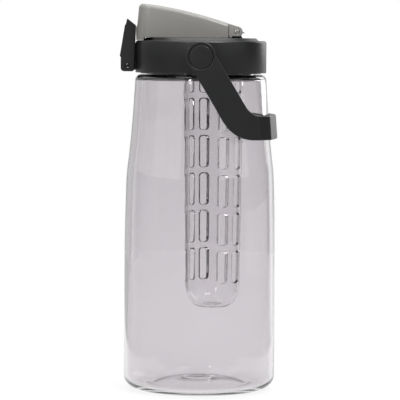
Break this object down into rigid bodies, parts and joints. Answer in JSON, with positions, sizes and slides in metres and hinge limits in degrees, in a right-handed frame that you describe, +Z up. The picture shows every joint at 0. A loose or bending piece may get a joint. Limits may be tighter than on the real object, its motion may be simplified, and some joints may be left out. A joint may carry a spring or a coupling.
{
  "type": "infuser pitcher",
  "caption": "Clear bottle-shaped infuser pitcher with a screw lid, a latched flip cap over its spout, a swinging U-shaped carry handle and a slotted infuser tube.",
  "frame": {"origin": "middle of the base on the bottle's axis, at the height of the resting ring", "axes": "+Z up along the bottle's axis, -X the pouring side with the latch, +X the side of the cap's hinge, the handle's pivots along Y"},
  "size_m": [0.1144, 0.111, 0.279],
  "materials": {
    "clear_plastic": "clear, polished, faintly lavender-grey",
    "charcoal_plastic": "fine satin moulded surface",
    "warm_grey_plastic": "satin moulded surface",
    "silicone": "matte, slightly translucent",
    "steel": "drawn wire",
    "spring_steel": "dark oiled wire"
  },
  "bodies": {
    "bottle": {"bottle_body": "clear_plastic"},
    "seal": {"lid_seal": "silicone"},
    "lid": {"lid_base": "charcoal_plastic", "lid_collar": "charcoal_plastic", "pour_spout": "charcoal_plastic", "spout_seal": "silicone", "hinge_pin": "steel", "hinge_spring": "spring_steel", "latch_pin": "steel", "latch_spring": "spring_steel", "handle_stud_near": "charcoal_plastic", "handle_stud_far": "charcoal_plastic", "handle_washer_near": "silicone", "handle_washer_far": "silicone"},
    "flip_cap": {"cap_cover": "warm_grey_plastic", "cap_frame": "warm_grey_plastic", "cap_plug": "silicone"},
    "latch_lever": {"latch": "charcoal_plastic"},
    "carry_handle": {"handle": "charcoal_plastic"},
    "infuser": {"infuser_tube": "clear_plastic", "infuser_seal": "silicone"}
  },
  "joints": [
    {"name": "lid_lift", "type": "slide", "parent": "bottle", "child": "seal", "axis": [0, 0, 1], "range_m": [0, 0.0063]},
    {"name": "lid_turn", "type": "hinge", "parent": "seal", "child": "lid", "pos_m": [0, 0, 0.2374], "axis": [0, 0, 1], "range_deg": [0, 450]},
    {"name": "cap_hinge", "type": "hinge", "parent": "lid", "child": "flip_cap", "pos_m": [0.0257, 0, 0.2592], "axis": [0, 1, 0], "range_deg": [0, 115]},
    {"name": "latch_hinge", "type": "hinge", "parent": "lid", "child": "latch_lever", "pos_m": [-0.05325, 0, 0.2344], "axis": [0, -1, 0], "range_deg": [0, 35], "stiffness_Nm_per_rad": 0.05, "springref_deg": -17.19},
    {"name": "handle_hinge", "type": "hinge", "parent": "lid", "child": "carry_handle", "pos_m": [0, 0, 0.2412], "axis": [0, -1, 0], "range_deg": [0, 255]},
    {"name": "infuser_slide", "type": "slide", "parent": "lid", "child": "infuser", "axis": [0, 0, -1], "range_m": [0, 0.04]}
  ],
  "couplings": [
    {"joint": "lid_lift", "follows": "lid_turn", "m_per_rad": 0.00079577}
  ]
}
